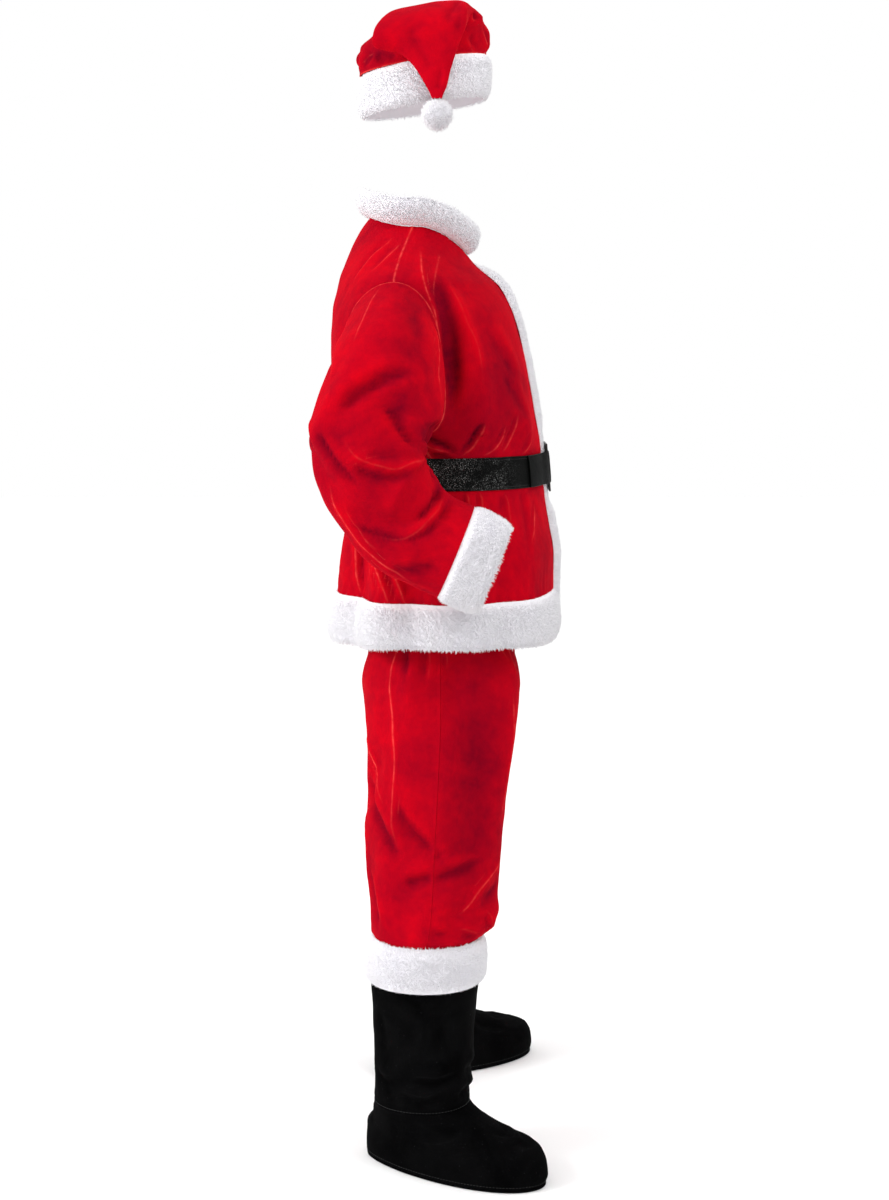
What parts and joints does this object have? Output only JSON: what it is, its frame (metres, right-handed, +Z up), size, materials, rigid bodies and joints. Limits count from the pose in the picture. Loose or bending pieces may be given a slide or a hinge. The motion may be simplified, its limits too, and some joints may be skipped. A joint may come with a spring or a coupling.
{
  "type": "santa suit",
  "caption": "Red velvet santa suit as worn: hat with pompom, belted jacket, trousers and boot covers, all trimmed with deep white plush, hollow and open.",
  "frame": {"origin": "middle of the neck opening, 1.500 m above the soles of the boot covers, where the wearer's neck and shoulders carry the suit", "axes": "-Y to the wearer's front, -X to the wearer's right, +Z up along the standing wearer"},
  "size_m": [0.8026, 0.3938, 1.8514],
  "materials": {
    "red_velvet": "soft red velvet with a short pile",
    "white_plush": "deep white plush",
    "belt_black": "grained black leatherette, satin",
    "buckle_black": "black plastic, satin",
    "boot_black": "matte black velvet"
  },
  "bodies": {
    "root": {"hat_crown": "red_velvet", "hat_band": "white_plush", "hat_pompom": "white_plush", "jacket_front_left": "red_velvet", "jacket_front_right": "red_velvet", "jacket_back": "red_velvet", "collar": "white_plush", "placket": "white_plush", "hem_band": "white_plush", "belt_strap": "belt_black", "belt_fold": "belt_black", "buckle": "buckle_black", "trouser_front_left": "red_velvet", "trouser_front_right": "red_velvet", "trouser_back_left": "red_velvet", "trouser_back_right": "red_velvet", "waistband": "red_velvet", "sleeve_left": "red_velvet", "sleeve_right": "red_velvet", "cuff_left": "white_plush", "cuff_right": "white_plush", "boot_shaft_left": "boot_black", "boot_shaft_right": "boot_black", "boot_band_left": "white_plush", "boot_band_right": "white_plush", "boot_foot_left": "boot_black", "boot_foot_right": "boot_black", "boot_sole_left": "boot_black", "boot_sole_right": "boot_black"}
  },
  "joints": []
}
